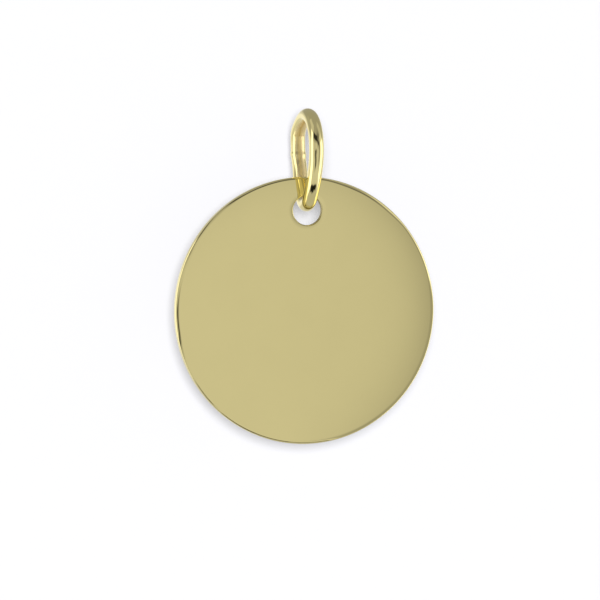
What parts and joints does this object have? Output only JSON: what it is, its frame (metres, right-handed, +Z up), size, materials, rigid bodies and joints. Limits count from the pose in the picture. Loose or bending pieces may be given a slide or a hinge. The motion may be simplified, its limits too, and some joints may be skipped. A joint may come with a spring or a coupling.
{
  "type": "disc pendant",
  "caption": "Plain round polished gold disc pendant with a drilled hole, hanging free on a closed round-wire jump ring.",
  "frame": {"origin": "on the inside of the jump ring's crown, where a chain or cord bears on the wire", "axes": "+Z up along the hanging line, -Y out of the disc's front face, +X to the right seen from the front; the ring stands in the YZ plane"},
  "size_m": [0.018, 0.0056, 0.0226],
  "materials": {
    "polished_disc": "mirror polished",
    "polished_wire": "mirror polished"
  },
  "bodies": {
    "ring": {"jump_ring": "polished_wire"},
    "disc": {"disc": "polished_disc"}
  },
  "joints": [
    {"name": "disc_swing", "type": "hinge", "parent": "ring", "child": "disc", "pos_m": [0, 0, -0.00545], "axis": [0, 1, 0], "range_deg": [-75, 75]}
  ]
}
